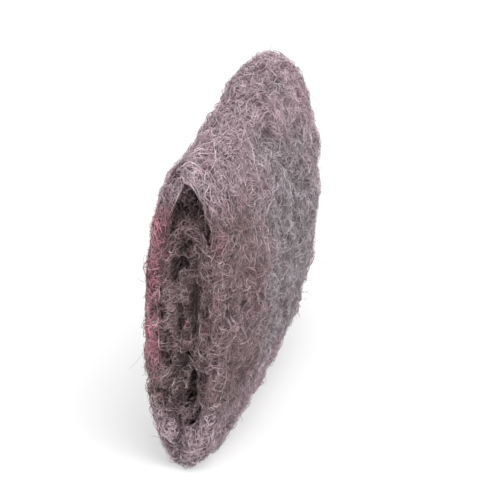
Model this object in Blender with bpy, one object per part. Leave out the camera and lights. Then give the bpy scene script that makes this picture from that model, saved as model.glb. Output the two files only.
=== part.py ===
"""A steel wool pad: one strip of steel wool wound into a flat roll, standing on its folded edge.

Metres, +Z up. The roll's axis runs along Y, its thickness along X and its height, from the lower
fold to the upper one, along Z. The origin is under the middle of the pad, on the plane that it
stands on. The end at -Y is the near one, and the face at +X is the front.
"""

from math import asin, cos, hypot, pi, sin

import bpy

# Driving dimensions of the pad
PAD_LENGTH = 0.076  # along the roll's axis
PAD_HEIGHT = 0.0630  # from fold to fold
PAD_THICKNESS = 0.0232  # across the crown of the two broad faces
NEAR_THICKNESS = 0.0158  # across the pinched near end
FAR_THICKNESS = 0.0136  # across the pinched far end
NEAR_DROP = 0.0030  # how much lower the upper fold is at the near end
FAR_DROP = 0.0138  # how much lower it is at the far end
NEAR_LIFT = 0.0032  # how far the lower fold rises at the near end
FAR_LIFT = 0.0080  # how far it rises at the far end
FOOT_DEPTH = 0.0030  # how much of the lower fold the pad's weight presses flat

# Driving dimensions of the wound strip
TURNS = 3.04  # from the strip's outer end to its inner one
LAYER_GAP = 0.0005  # air between neighbouring turns on the broad faces
FOLD_GAP = 0.0020  # air between them under the folds
NEAR_FOLD_GAP = 0.0098  # air under the outer turn's folds at the near end
FAR_FOLD_GAP = 0.0040  # air under the outer turn's folds at the far end
LOWER_HOLLOW = 0.2  # share of the ends' wider air that the pad's weight leaves at the lower fold
FOLD_FULLNESS = 1.45  # how much thicker the strip is in the folds than on the faces
CORE_GAP = 0.0007  # slit left in the middle of the roll
END_RECESS = 0.0040  # how far the innermost turn's ends lie inside the outer turn's
EDGE_ROUND = 0.0007  # bulge of the strip's cut edges
TAIL_HEIGHT = 0.0180  # height on the back face of the strip's outer end
TAIL_TAPER = 0.0095  # length over which that end thins out
TAIL_LEAD = 0.0065  # length over which the turn before it dips to slip under it

# How the soft roll has settled, as a shift of all its turns together
LEAN = 0.0023  # how far the upper fold leans towards the back
BOW = 0.0014  # how far the ends bend towards the back
FRONT_TUCK = 0.32  # share by which the front half narrows down to the lower fold
BACK_SLUMP = 0.50  # share by which the back half widens onto the foot, in the roll's middle
SIDE_WAVE = 0.0004
SIDE_WAVELENGTH = 0.031
FOLD_WAVE = 0.0011
FOLD_WAVELENGTH = 0.048
FOLD_WAVE_SHIFT = -0.003  # how far the wave is moved towards the far end

# Soft lumps and dents of the outer turn
LUMP_HEIGHT = 0.0006
LUMP_SPACING = 0.0145  # from one lump to the next
LUMP_SLANT = 0.35  # how far the rows of lumps slant, as a share of their length
LUMP_SWAY = 1.3  # how far the rows sway, as an angle of the wave that makes them
LUMP_RUN = 2.6  # how many lumps one sway runs over

# Form of a turn's section, |x/a|^n + |z/b|^n = 1, and of its changes along the roll
MIDDLE_SQUARENESS = 1.8
END_SQUARENESS = 2.2
CROWN_POWER = 2.4  # how late the thickness falls off towards the ends
CORNER_POWER = 4.7  # how late the upper fold drops towards the ends
LIFT_POWER = 2.8  # how late the lower fold rises towards them
HOLLOW_POWER = 6.0  # how close to the ends the wide hollows under the folds stay

# Facets
OUTER_STEPS = 42  # to a turn, where the strip lies outermost
INNER_STEPS = 26  # to a turn, inside the roll
STATIONS = 22
STATION_CROWDING = 1.1  # the larger, the closer together the stations are towards the ends

WOOL_COLOUR = (0.20, 0.17, 0.175, 1.0)
WOOL_ROUGHNESS = 0.55
WOOL_METALLIC = 0.35


def mix(low, high, share):
    """The value between low and high at share, which runs from 0 to 1."""
    return low + (high - low) * share


def smooth_step(share):
    """A soft ramp from 0 to 1, level at both ends."""
    share = min(max(share, 0.0), 1.0)
    return share * share * (3.0 - 2.0 * share)


def signed_power(value, power):
    """The power of a value's size, with the value's sign."""
    return abs(value) ** power * (1.0 if value >= 0.0 else -1.0)


def end_share(y, power):
    """0 in the middle of the pad and 1 at either end."""
    return min(abs(y) / (PAD_LENGTH / 2), 1.0) ** power


def by_end(y, near, far):
    """The value of the end that y is nearer to."""
    return near if y < 0.0 else far


def half_thickness(y):
    """Half the pad's thickness at y: crowned in the middle and pinched at the ends."""
    end = by_end(y, NEAR_THICKNESS, FAR_THICKNESS)
    return mix(PAD_THICKNESS, end, end_share(y, CROWN_POWER)) / 2


def fold_heights(y):
    """Heights of the lower and the upper fold at y, before the foot is pressed flat."""
    low = by_end(y, NEAR_LIFT, FAR_LIFT) * end_share(y, LIFT_POWER) - FOOT_DEPTH
    drop = by_end(y, NEAR_DROP, FAR_DROP) * end_share(y, CORNER_POWER)
    high = PAD_HEIGHT - FOLD_WAVE - LUMP_HEIGHT - drop
    return low, high


def squareness(y):
    """The section's exponent at y: fuller towards the ends, where the folds are open."""
    return mix(MIDDLE_SQUARENESS, END_SQUARENESS, end_share(y, CROWN_POWER))


def layer_pitch(y):
    """Distance from one turn's outer side to the next one's on the broad faces, at y."""
    layers = round(TURNS)
    return (half_thickness(y) + LAYER_GAP - CORE_GAP / 2) / layers


def back_angle(height):
    """Angle round the section of a height on the back face."""
    down = (PAD_HEIGHT / 2 - height) / (PAD_HEIGHT / 2)
    return pi + asin(signed_power(down, MIDDLE_SQUARENESS / 2))


TAIL_ANGLE = back_angle(TAIL_HEIGHT)
DIP_START = (TAIL_ANGLE - back_angle(TAIL_HEIGHT + TAIL_LEAD)) / (2 * pi)
DIP_END = (back_angle(TAIL_HEIGHT - TAIL_TAPER) - TAIL_ANGLE) / (2 * pi)


def turn_depth(turn):
    """How many layers deep the strip lies after some turns from its outer end.

    It keeps its depth nearly all the way round, and dips one layer deeper on the back face, where
    it slips under its own outer end or under the turn before it.
    """
    dips = int(turn + DIP_START)
    if dips == 0:
        return 0.0
    return dips - 1 + smooth_step((turn - dips + DIP_START) / (DIP_START + DIP_END))


def end_hollow(y):
    """How much wider the air under the outer turn's folds is at y than under the others."""
    return (by_end(y, NEAR_FOLD_GAP, FAR_FOLD_GAP) - FOLD_GAP) * end_share(y, HOLLOW_POWER)


def fold_inset(depth, y):
    """How far under the outer fold a layer's own fold lies, at y."""
    full = (layer_pitch(y) - LAYER_GAP) * FOLD_FULLNESS
    return depth * (full + FOLD_GAP) + min(depth, 1.0) * end_hollow(y)


def fold_air(depth, y, share):
    """The air under a layer's fold, at y, with a share of the wider air at the ends."""
    return FOLD_GAP + max(1.0 - depth, 0.0) * end_hollow(y) * share


def lump_height(x, y, z):
    """How far the outer turn's surface stands out at a place, or is dented."""
    k = 2 * pi / LUMP_SPACING
    rows = sin(k * (y + LUMP_SLANT * z) + LUMP_SWAY * sin(k * z / LUMP_RUN))
    columns = sin(k * (z - LUMP_SLANT * y + x) + LUMP_SWAY * sin(k * y / LUMP_RUN))
    return LUMP_HEIGHT * rows * columns


def roll_point(turn, y, inward):
    """A point of the strip: inward is 0 on its outer side and 1 on its inner one.

    The strip fills the room down to the next turn but for the air between them, so that it thins
    out towards its outer end, where the next turn has not dipped all the way yet. In the middle
    of the roll it stops at the slit. Lumps lift its outer side along the section's normal.
    """
    depth = turn_depth(turn)
    room = turn_depth(turn + 1.0) - depth
    angle = TAIL_ANGLE + turn * 2 * pi
    along, upward = cos(angle), sin(angle)
    air = fold_air(depth, y, 1.0 if upward > 0.0 else LOWER_HOLLOW)
    fold_fill = fold_inset(depth + room, y) - fold_inset(depth, y) - room * air
    low, high = fold_heights(y)
    a = half_thickness(y) - depth * layer_pitch(y)
    a -= inward * min(room * layer_pitch(y) - LAYER_GAP, a - CORE_GAP / 2)
    b = (high - low) / 2 - fold_inset(depth, y) - inward * fold_fill
    power = 2.0 / squareness(y)
    x = a * signed_power(along, power)
    z = (high + low) / 2 + b * signed_power(upward, power)
    out_x = signed_power(along, 2.0 - power) / a
    out_z = signed_power(upward, 2.0 - power) / b
    skin = (1.0 - inward) * max(1.0 - depth, 0.0) * min(room, 1.0)
    lift = skin * lump_height(x, y, z) / hypot(out_x, out_z)
    return settle(x + lift * out_x, y, z + lift * out_z)


def settle(x, y, z):
    """Moves a point of the true roll to where the soft, settled one has it."""
    up = min(max(z / PAD_HEIGHT, 0.0), 1.0)
    if x > 0.0:
        x *= 1.0 - FRONT_TUCK * (1.0 - up) ** 2
    else:
        x *= 1.0 + BACK_SLUMP * (1.0 - up) ** 4 * (1.0 - end_share(y, 2.0))
    x -= LEAN * up ** 2 + BOW * end_share(y, 2.0)
    x += SIDE_WAVE * sin(2 * pi * y / SIDE_WAVELENGTH) * sin(pi * up)
    z += FOLD_WAVE * sin(2 * pi * (y - FOLD_WAVE_SHIFT) / FOLD_WAVELENGTH) * up ** 2
    return x, y, max(z, 0.0)


def edge_reach(turn):
    """How far from the middle of the pad the strip's cut edges are, before their bulge."""
    deepest = max(turn_depth(TURNS), 1.0)
    return PAD_LENGTH / 2 - EDGE_ROUND - END_RECESS * turn_depth(turn) / deepest


def edge_crest(turn, y):
    """The crest of the strip's rounded cut edge, beyond its end at y."""
    x, _, z = roll_point(turn, y, 0.5)
    return x, y + (EDGE_ROUND if y > 0.0 else -EDGE_ROUND), z


def section_ring(turn):
    """Points round the strip's own section after some turns.

    The ring goes along the outer side from the near edge to the far one, over the rounded far
    edge, back along the inner side and over the rounded near edge. Its stations are closer
    together towards the ends, where the roll's form changes most.
    """
    reach = edge_reach(turn)
    crowd = STATION_CROWDING
    stations = [reach * sin(crowd * (2 * i / STATIONS - 1)) / sin(crowd) for i in range(STATIONS + 1)]
    outer = [roll_point(turn, y, 0.0) for y in stations]
    inner = [roll_point(turn, y, 1.0) for y in reversed(stations)]
    return outer + [edge_crest(turn, reach)] + inner + [edge_crest(turn, -reach)]


def end_faces(first, count):
    """Faces that close the strip across its outer end, from the ring that starts at first."""
    faces = [[first, first + count - 1, first + count - 2]]
    for i in range(STATIONS):
        across = count - 2 - i
        faces.append([first + i, first + across, first + across - 1, first + i + 1])
    last = first + STATIONS
    faces.append([last, last + 2, last + 1])
    return faces


def turn_stops():
    """The turns at which the strip's sections are set, from its outer end to its inner one."""
    covered = 1.0 + DIP_END
    outer = round(covered * OUTER_STEPS)
    inner = round((TURNS - covered) * INNER_STEPS)
    stops = [covered * i / outer for i in range(outer)]
    return stops + [mix(covered, TURNS, i / inner) for i in range(inner + 1)]


def roll_mesh():
    """The whole roll as one closed mesh, with its middle over the origin."""
    rings = [section_ring(turn) for turn in turn_stops()]
    steps, count = len(rings) - 1, len(rings[0])
    points = [point for ring in rings for point in ring]
    faces = end_faces(0, count)
    for row in range(steps):
        here, after = row * count, (row + 1) * count
        for i in range(count):
            j = (i + 1) % count
            faces.append([here + i, here + j, after + j, after + i])
    faces += [face[::-1] for face in end_faces(steps * count, count)]
    sides = [x for x, _, _ in points]
    middle = (min(sides) + max(sides)) / 2
    mesh = bpy.data.meshes.new("steel_wool_pad")
    mesh.from_pydata([(x - middle, y, z) for x, y, z in points], [], faces)
    return mesh


def wool_material():
    """Dull grey steel wool with a mauve cast from dried soap."""
    material = bpy.data.materials.new("soapy_steel_wool")
    material.use_nodes = True
    shader = material.node_tree.nodes["Principled BSDF"]
    shader.inputs["Base Color"].default_value = WOOL_COLOUR
    shader.inputs["Roughness"].default_value = WOOL_ROUGHNESS
    shader.inputs["Metallic"].default_value = WOOL_METALLIC
    return material


def main():
    for old in list(bpy.data.objects):
        bpy.data.objects.remove(old, do_unlink=True)
    mesh = roll_mesh()
    mesh.materials.append(wool_material())
    mesh.shade_smooth()
    mesh.set_sharp_from_angle(angle=pi / 4)
    pad = bpy.data.objects.new("steel_wool_pad", mesh)
    bpy.context.scene.collection.objects.link(pad)


main()
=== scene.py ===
import itertools
import math

import bpy
import numpy as np
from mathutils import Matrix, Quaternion, Vector
from mathutils.kdtree import KDTree


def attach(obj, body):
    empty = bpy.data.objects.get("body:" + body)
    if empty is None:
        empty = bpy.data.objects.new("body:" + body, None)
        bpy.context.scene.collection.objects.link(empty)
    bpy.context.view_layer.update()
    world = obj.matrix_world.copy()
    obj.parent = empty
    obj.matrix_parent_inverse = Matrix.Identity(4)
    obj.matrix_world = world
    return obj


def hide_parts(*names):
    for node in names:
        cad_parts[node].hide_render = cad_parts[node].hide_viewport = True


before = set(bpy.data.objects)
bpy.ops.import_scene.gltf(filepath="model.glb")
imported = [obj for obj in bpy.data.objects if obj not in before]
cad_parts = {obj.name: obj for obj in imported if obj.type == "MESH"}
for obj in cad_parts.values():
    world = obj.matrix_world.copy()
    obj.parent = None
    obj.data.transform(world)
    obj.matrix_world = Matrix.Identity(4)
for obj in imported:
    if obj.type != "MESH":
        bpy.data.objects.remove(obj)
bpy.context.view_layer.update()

# A soapy steel wool pad: one strip of wool wound into a flat roll that stands on its lower fold.
# Metres, +Z up. The roll's axis runs along Y, the near end is at -Y, and the front face looks to +X.

# The wound strip, with the same sizes as the solid that it is fitted over
roll = dict(
    length=0.076, height=0.063, thickness=0.0232, nearThickness=0.0158, farThickness=0.0136,
    nearDrop=0.0030, farDrop=0.0138, nearLift=0.0032, farLift=0.0080, footDepth=0.0030,
    turns=3.04, layerGap=0.0005, foldGap=0.0020, nearFoldGap=0.0098, farFoldGap=0.0040,
    lowerHollow=0.2, foldFullness=1.45, coreGap=0.0007, endRecess=0.0040, edgeRound=0.0007,
    tailHeight=0.0180, tailTaper=0.0095, tailLead=0.0065,
    lean=0.0023, bow=0.0014, frontTuck=0.32, backSlump=0.50,
    sideWave=0.0004, sideWavelength=0.031, foldWave=0.0011, foldWavelength=0.048, foldWaveShift=-0.003,
    lumpHeight=0.0006, lumpSpacing=0.0145, lumpSlant=0.35, lumpSway=1.3, lumpRun=2.6,
    rimCalm=0.75,  # how much flatter the lumps are along the near end's back rim
    middleSquareness=1.8, endSquareness=2.2,
    crownPower=2.4, cornerPower=4.7, liftPower=2.8, hollowPower=6.0,
    stir=0.0005, stirHeight=0.0135,  # how far the buried turns wander near the ends
)
halfLength = roll["length"] / 2


def mix(low, high, share):
    return low + (high - low) * share


def smoothStep(share):
    share = np.clip(share, 0.0, 1.0)
    return share * share * (3.0 - 2.0 * share)


def signedPower(value, power):
    return np.abs(value) ** power * np.where(value >= 0.0, 1.0, -1.0)


def unit(vectors):
    return vectors / np.maximum(np.linalg.norm(vectors, axis=-1, keepdims=True), 1e-12)


def endShare(y, power):
    return np.minimum(np.abs(y) / halfLength, 1.0) ** power


def byEnd(y, near, far):
    return np.where(y < 0.0, near, far)


def halfThickness(y):
    end = byEnd(y, roll["nearThickness"], roll["farThickness"])
    return mix(roll["thickness"], end, endShare(y, roll["crownPower"])) / 2


def foldHeights(y):
    low = byEnd(y, roll["nearLift"], roll["farLift"]) * endShare(y, roll["liftPower"]) - roll["footDepth"]
    drop = byEnd(y, roll["nearDrop"], roll["farDrop"]) * endShare(y, roll["cornerPower"])
    return low, roll["height"] - roll["foldWave"] - roll["lumpHeight"] - drop


def layerPitch(y):
    return (halfThickness(y) + roll["layerGap"] - roll["coreGap"] / 2) / round(roll["turns"])


def backAngle(height):
    down = (roll["height"] / 2 - height) / (roll["height"] / 2)
    return math.pi + math.asin(signedPower(down, roll["middleSquareness"] / 2))


tailAngle = backAngle(roll["tailHeight"])
dipStart = (tailAngle - backAngle(roll["tailHeight"] + roll["tailLead"])) / (2 * math.pi)
dipEnd = (backAngle(roll["tailHeight"] - roll["tailTaper"]) - tailAngle) / (2 * math.pi)
topTurn = (2.5 * math.pi - tailAngle) / (2 * math.pi)  # where the strip passes over the upper fold


def turnDepth(turn):  # how many layers deep the strip lies after some turns
    dips = np.floor(np.maximum(turn, 0.0) + dipStart)
    dipped = smoothStep((turn - dips + dipStart) / (dipStart + dipEnd))
    return np.where(dips < 1.0, 0.0, dips - 1.0 + dipped)


def endHollow(y):
    wider = byEnd(y, roll["nearFoldGap"], roll["farFoldGap"]) - roll["foldGap"]
    return wider * endShare(y, roll["hollowPower"])


def foldInset(depth, y):
    full = (layerPitch(y) - roll["layerGap"]) * roll["foldFullness"]
    return depth * (full + roll["foldGap"]) + np.minimum(depth, 1.0) * endHollow(y)


def skinLump(x, y, z):  # soft lumps and dents of the outer turn
    k = 2 * math.pi / roll["lumpSpacing"]
    rows = np.sin(k * (y + roll["lumpSlant"] * z) + roll["lumpSway"] * np.sin(k * z / roll["lumpRun"]))
    columns = np.sin(k * (z - roll["lumpSlant"] * y + x) + roll["lumpSway"] * np.sin(k * y / roll["lumpRun"]))
    calmed = 1.0 - roll["rimCalm"] * smoothStep((-0.029 - y) / 0.006) * smoothStep((-0.001 - x) / 0.003)
    return roll["lumpHeight"] * rows * columns * calmed


def settle(x, y, z, depth):  # where the soft, settled roll has a point of the true one
    up = np.clip(z / roll["height"], 0.0, 1.0)
    slump = roll["backSlump"] * (1.0 - up) ** 4 * (1.0 - endShare(y, 2.0))
    x = x * np.where(x > 0.0, 1.0 - roll["frontTuck"] * (1.0 - up) ** 2, 1.0 + slump)
    x = x - roll["lean"] * up ** 2 - roll["bow"] * endShare(y, 2.0)
    x = x + roll["sideWave"] * np.sin(2 * math.pi * y / roll["sideWavelength"]) * np.sin(math.pi * up)
    wave = np.sin(2 * math.pi * (y - roll["foldWaveShift"]) / roll["foldWavelength"])
    high = 2 * math.pi * z / roll["stirHeight"]
    stirred = np.sin(high + 2.2 * np.sin(0.66 * high) + 0.7 * depth)
    x = x + roll["stir"] * stirred * smoothStep(depth) * smoothStep((np.abs(y) - 0.026) / 0.010)
    return x, np.maximum(z + roll["foldWave"] * wave * up ** 2, 0.0)


def rollPoint(turn, y, inward):  # inward is 0 on the strip's outer side and 1 on its inner one
    depth = turnDepth(turn)
    room = turnDepth(turn + 1.0) - depth
    angle = tailAngle + turn * 2 * math.pi
    around, upward = np.cos(angle), np.sin(angle)
    wider = np.maximum(1.0 - depth, 0.0) * endHollow(y) * np.where(upward > 0.0, 1.0, roll["lowerHollow"])
    foldFill = foldInset(depth + room, y) - foldInset(depth, y) - room * (roll["foldGap"] + wider)
    low, high = foldHeights(y)
    a = halfThickness(y) - depth * layerPitch(y)
    a = a - inward * np.minimum(room * layerPitch(y) - roll["layerGap"], a - roll["coreGap"] / 2)
    b = (high - low) / 2 - foldInset(depth, y) - inward * foldFill
    power = 2.0 / mix(roll["middleSquareness"], roll["endSquareness"], endShare(y, roll["crownPower"]))
    x = a * signedPower(around, power)
    z = (high + low) / 2 + b * signedPower(upward, power)
    outX = signedPower(around, 2.0 - power) / np.maximum(a, 0.0002)
    outZ = signedPower(upward, 2.0 - power) / np.maximum(b, 0.0002)
    skin = np.clip(1.0 - inward, 0.0, 1.2) * np.maximum(1.0 - depth, 0.0) * np.minimum(room, 1.0)
    lift = skin * skinLump(x, y, z) / np.maximum(np.hypot(outX, outZ), 1e-9)
    x, z = settle(x + lift * outX, y, z + lift * outZ, depth)
    x, z, wide = np.broadcast_arrays(x, z, y)
    return np.stack([x - middleX, wide, z], axis=-1)


middleX = 0.0
turnGrid, lengthGrid = np.meshgrid(np.linspace(0, 1, 241), np.linspace(-0.5, 0.5, 77) * roll["length"])
outline = rollPoint(turnGrid, lengthGrid, 0.0)[..., 0]
middleX = (outline.min() + outline.max()) / 2
deepest = float(turnDepth(roll["turns"]))


def reachAtDepth(depth):  # how far from the middle of the pad the strip's cut edges are
    return halfLength - roll["edgeRound"] - roll["endRecess"] * np.maximum(depth, 0.0) / deepest


def stripFrame(turn, y, inward=0.0):  # place, outward direction and metres per turn
    nudge = {"turn": 0.004, "y": 0.0006}
    here = rollPoint(turn, y, inward)
    onward = rollPoint(turn + nudge["turn"], y, inward) - rollPoint(turn - nudge["turn"], y, inward)
    across = rollPoint(turn, y + nudge["y"], inward) - rollPoint(turn, y - nudge["y"], inward)
    speed = np.linalg.norm(onward, axis=-1) / (2 * nudge["turn"])
    return here, unit(np.cross(across, onward)), np.maximum(speed, 0.01)


# Random lumps and pits of the felt, the same for its core and for the strands that lie on it
def makeLattice(seed, side=24):
    return np.random.default_rng(seed).uniform(-1.0, 1.0, (side, side, side))


def noiseAt(lattice, points, cell):
    spot = points / cell + 200.0
    low = np.floor(spot).astype(int)
    part = smoothStep(spot - low)
    total = 0.0
    for corner in itertools.product((0, 1), repeat=3):
        weight = np.prod(np.where(np.array(corner) == 1, part, 1.0 - part), axis=-1)
        at = (low + corner) % len(lattice)
        total = total + weight * lattice[at[..., 0], at[..., 1], at[..., 2]]
    return total


felt = dict(
    broad=dict(height=0.00028, cell=0.0056, seed=11),
    small=dict(height=0.00036, cell=0.0025, seed=12),
    fine=dict(height=0.00024, cell=0.0012, seed=13),
    pitCell=0.0026, pitDepth=0.0018, pitFrom=0.24, pockCell=0.0013, pockDepth=0.0012, pockFrom=0.30,
    streakCell=0.0019, streakStretch=0.36,
    streakReach=0.024, streakFade=0.012,  # how far from the near end the pits are drawn out upright
    pitSeed=14,
)
feltLattices = {name: makeLattice(felt[name]["seed"]) for name in ("broad", "small", "fine")}
pitLattice, streakLattice, pockLattice = (makeLattice(felt["pitSeed"] + i) for i in range(3))


def pitDepthAt(points):
    near = smoothStep((-points[..., 1] - halfLength + felt["streakReach"]) / felt["streakFade"])
    streaks = noiseAt(streakLattice, points * np.array([1.0, 1.0, felt["streakStretch"]]), felt["streakCell"])
    pits = mix(noiseAt(pitLattice, points, felt["pitCell"]), streaks, near)
    pocks = noiseAt(pockLattice, points, felt["pockCell"])
    deep = felt["pitDepth"] * np.maximum(pits - felt["pitFrom"], 0.0)
    return deep + felt["pockDepth"] * np.maximum(pocks - felt["pockFrom"], 0.0)


def feltHeight(points):
    height = 0.0
    for name, lattice in feltLattices.items():
        height = height + felt[name]["height"] * noiseAt(lattice, points, felt[name]["cell"])
    return height - pitDepthAt(points)


# Where the wool is stained: pink soap on the near end's back rim, brown and grey casts on the faces
stains = dict(
    soapLow=0.0175, soapHigh=0.0545, soapFade=0.006, soapWidth=0.0016,
    deepLow=0.041, deepHigh=0.0530,  # between these heights the rim is stained deeper in
    soapSpread=0.0095, spreadCell=0.0070, spreadFade=0.0030,
    fleckCell=0.0021, fleckFrom=0.76, fleckReach=0.020,
    brownReach=0.022, brownCell=0.0045, brownLow=0.007, brownHigh=0.0555,
    greyMiddle=(0.0100, -0.0030, 0.0330), greyRadius=0.022, greyCell=0.0100,
    castCell=0.014,
    seed=21,
)
stainLattice = makeLattice(stains["seed"])
fleckLattice = makeLattice(stains["seed"] + 1)


def soapAt(points, turn, deep):  # turn says where round the roll, deep how many layers in
    fromEnd, z = points[..., 1] + halfLength, points[..., 2]
    tall = smoothStep((z - stains["soapLow"]) / stains["soapFade"])
    tall = tall * smoothStep((stains["soapHigh"] - z) / stains["soapFade"])
    behind = tall * smoothStep((turn - topTurn) / 0.01)
    high = smoothStep((z - stains["deepLow"]) / 0.004) * smoothStep((stains["deepHigh"] - z) / 0.003)
    uneven = deep + 0.30 * noiseAt(stainLattice, points, 0.0018)
    layer = smoothStep((0.85 + 0.35 * high - uneven) / 0.65) * (1.0 - 0.40 * smoothStep(deep / 0.35))
    ragged = 0.92 - 0.14 * high + 0.24 * noiseAt(stainLattice, points, 0.0024)
    rim = smoothStep((stains["soapWidth"] - fromEnd) / 0.0016) * layer * ragged
    patches = smoothStep(1.3 * noiseAt(stainLattice, points, stains["spreadCell"]))
    spread = stains["soapWidth"] + stains["soapSpread"] * patches
    back = smoothStep((spread - fromEnd) / stains["spreadFade"]) * smoothStep((0.5 - deep) / 0.3)
    back = back * (0.42 + 0.40 * noiseAt(fleckLattice, points, 0.0013))
    banded = smoothStep((stains["fleckReach"] - fromEnd) / 0.008) * smoothStep((z - 0.022) / 0.008)
    specks = noiseAt(fleckLattice, points, stains["fleckCell"]) - stains["fleckFrom"] + 0.26 * banded
    return np.clip(np.maximum(behind * np.maximum(rim, back), 0.24 * smoothStep(specks / 0.14)), 0.0, 1.0)


def castsAt(points):  # shares of the brown and of the grey cast
    y, z = points[..., 1], points[..., 2]
    blotches = noiseAt(stainLattice, points, stains["brownCell"])
    broad = noiseAt(fleckLattice, points, stains["castCell"])
    nearness = smoothStep((-y - halfLength + stains["brownReach"]) / 0.015)
    level = smoothStep((z - stains["brownLow"]) / 0.008) * smoothStep((stains["brownHigh"] - z) / 0.007)
    brown = nearness * level * (0.86 + 0.32 * blotches) + 0.08 * smoothStep((broad - 0.05) / 0.6) + 0.08 * blotches
    away = np.linalg.norm(points - np.array(stains["greyMiddle"]), axis=-1) / stains["greyRadius"]
    away = away + 0.45 * blotches + 0.35 * noiseAt(stainLattice, points, stains["greyCell"])
    grey = 0.85 * smoothStep(1.5 - away) + 0.15 * smoothStep((-broad - 0.05) / 0.6)
    return np.clip(brown, 0.0, 1.0), np.clip(grey, 0.0, 1.0)


# Painted shade for the open ends: a plain share, and more under the arch
endDark = dict(start=0.024, run=0.010, archLow=0.0425, archRun=0.0045, plain=0.07, underArch=0.38)


def endShade(points, deep):  # painted shade inside the open ends, most of all under the arch
    inEnd = smoothStep((np.abs(points[..., 1]) - endDark["start"]) / endDark["run"])
    underArch = smoothStep((points[..., 2] - endDark["archLow"]) / endDark["archRun"])
    return smoothStep(deep / 0.9) * inEnd * (endDark["plain"] + endDark["underArch"] * underArch)


def meshObject(name, points, faces, material, values=None, mapCorners=None):
    mesh = bpy.data.meshes.new(name)
    mesh.from_pydata(np.asarray(points).tolist(), [], faces)
    for key, numbers in (values or {}).items():
        attribute = mesh.attributes.new(key, "FLOAT", "POINT")
        attribute.data.foreach_set("value", np.asarray(numbers, np.float32).ravel())
    if mapCorners is not None:
        layer = mesh.uv_layers.new(name="OFBake")
        layer.uv.foreach_set("vector", np.asarray(mapCorners, np.float32).ravel())
    mesh.materials.append(material)
    mesh.shade_smooth()
    piece = bpy.data.objects.new(name, mesh)
    bpy.context.scene.collection.objects.link(piece)
    return piece


# Materials
def startMaterial(name):
    material = bpy.data.materials.new(name)
    material.use_nodes = True
    tree = material.node_tree
    return material, tree, tree.nodes["Principled BSDF"], addNode(tree, "TexCoord", {}, "Object")


def addNode(tree, kind, inputs, output=0, **settings):
    node = tree.nodes.new("ShaderNode" + kind)
    for key, value in settings.items():
        setattr(node, key, value)
    for key, item in inputs.items():
        if isinstance(item, bpy.types.NodeSocket):
            tree.links.new(item, node.inputs[key])
        else:
            node.inputs[key].default_value = item
    return node.outputs[output]


def noiseNode(tree, place, scale, detail=2.0, distortion=0.0):
    inputs = {"Vector": place, "Scale": scale, "Detail": detail, "Distortion": distortion}
    return addNode(tree, "TexNoise", inputs, "Fac")


def rangeNode(tree, value, fromLow, fromHigh, toLow=0.0, toHigh=1.0):
    limits = {"From Min": fromLow, "From Max": fromHigh, "To Min": toLow, "To Max": toHigh}
    return addNode(tree, "MapRange", {"Value": value, **limits}, "Result")


def mixNode(tree, share, first, second):
    ends = [end if isinstance(end, bpy.types.NodeSocket) else (*end, 1.0) for end in (first, second)]
    return addNode(tree, "Mix", {0: share, 6: ends[0], 7: ends[1]}, 2, data_type="RGBA")


def mathNode(tree, operation, first, second):
    return addNode(tree, "Math", {0: first, 1: second}, operation=operation)


def attributeNode(tree, name):
    return addNode(tree, "Attribute", {}, "Fac", attribute_name=name)


# deep is the darkest wool tone and also the colour of painted shade; pale is partly a lighter wool tone and partly
# painted glints
woolColours = dict(
    mauve=(0.47, 0.345, 0.390),
    grey=(0.352, 0.323, 0.341),
    brown=(0.280, 0.186, 0.194),
    pale=(0.82, 0.74, 0.77),
    deep=(0.085, 0.056, 0.058),
    soap=(0.58, 0.215, 0.285),
)


def woolColour(tree, place):
    colour = mixNode(tree, attributeNode(tree, "grey"), woolColours["mauve"], woolColours["grey"])
    colour = mixNode(tree, attributeNode(tree, "brown"), colour, woolColours["brown"])
    speckle = rangeNode(tree, noiseNode(tree, place, 620.0), 0.35, 0.65, 0.74, 1.22)
    colour = addNode(tree, "VectorMath", {0: colour, "Scale": speckle}, operation="SCALE")
    return mixNode(tree, attributeNode(tree, "soap"), colour, woolColours["soap"])


def strandMaterial():
    material, tree, shader, place = startMaterial("steel wool strands")
    tone = attributeNode(tree, "tone")
    # pale: lighter strands, partly random tone and partly painted glints
    pale = rangeNode(tree, tone, 0.62, 1.0, 0.0, 0.65)
    dark = rangeNode(tree, tone, 0.0, 0.42, 0.60, 0.0)
    # painted shade: strands in pits, lying low or deep in the roll are mixed towards the deep colour
    paintedShade = rangeNode(tree, attributeNode(tree, "paintedShade"), 0.15, 1.0, 0.0, 0.88)
    colour = mixNode(tree, pale, woolColour(tree, place), woolColours["pale"])
    for share in (dark, paintedShade):
        colour = mixNode(tree, share, colour, woolColours["deep"])
    tree.links.new(colour, shader.inputs["Base Color"])
    grain = rangeNode(tree, noiseNode(tree, place, 900.0), 0.35, 0.65, 0.36, 0.60)
    tree.links.new(grain, shader.inputs["Roughness"])
    shader.inputs["Metallic"].default_value = 0.38
    return material


threads = dict(  # curly threads drawn on the felt: how many cells a metre, and how thin
    coarse=(330.0, 0.016),
    middle=(560.0, 0.022),
    fine=(930.0, 0.032),
)


def threadsNode(tree, place):  # bright along the lines where a smooth noise crosses its middle
    drawn = None
    for scale, thin in threads.values():
        away = mathNode(tree, "SUBTRACT", noiseNode(tree, place, scale, 1.0, 0.6), 0.5)
        line = rangeNode(tree, mathNode(tree, "ABSOLUTE", away, 0.0), thin * 0.3, thin, 1.0, 0.0)
        drawn = line if drawn is None else mathNode(tree, "MAXIMUM", drawn, line)
    return drawn


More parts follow.
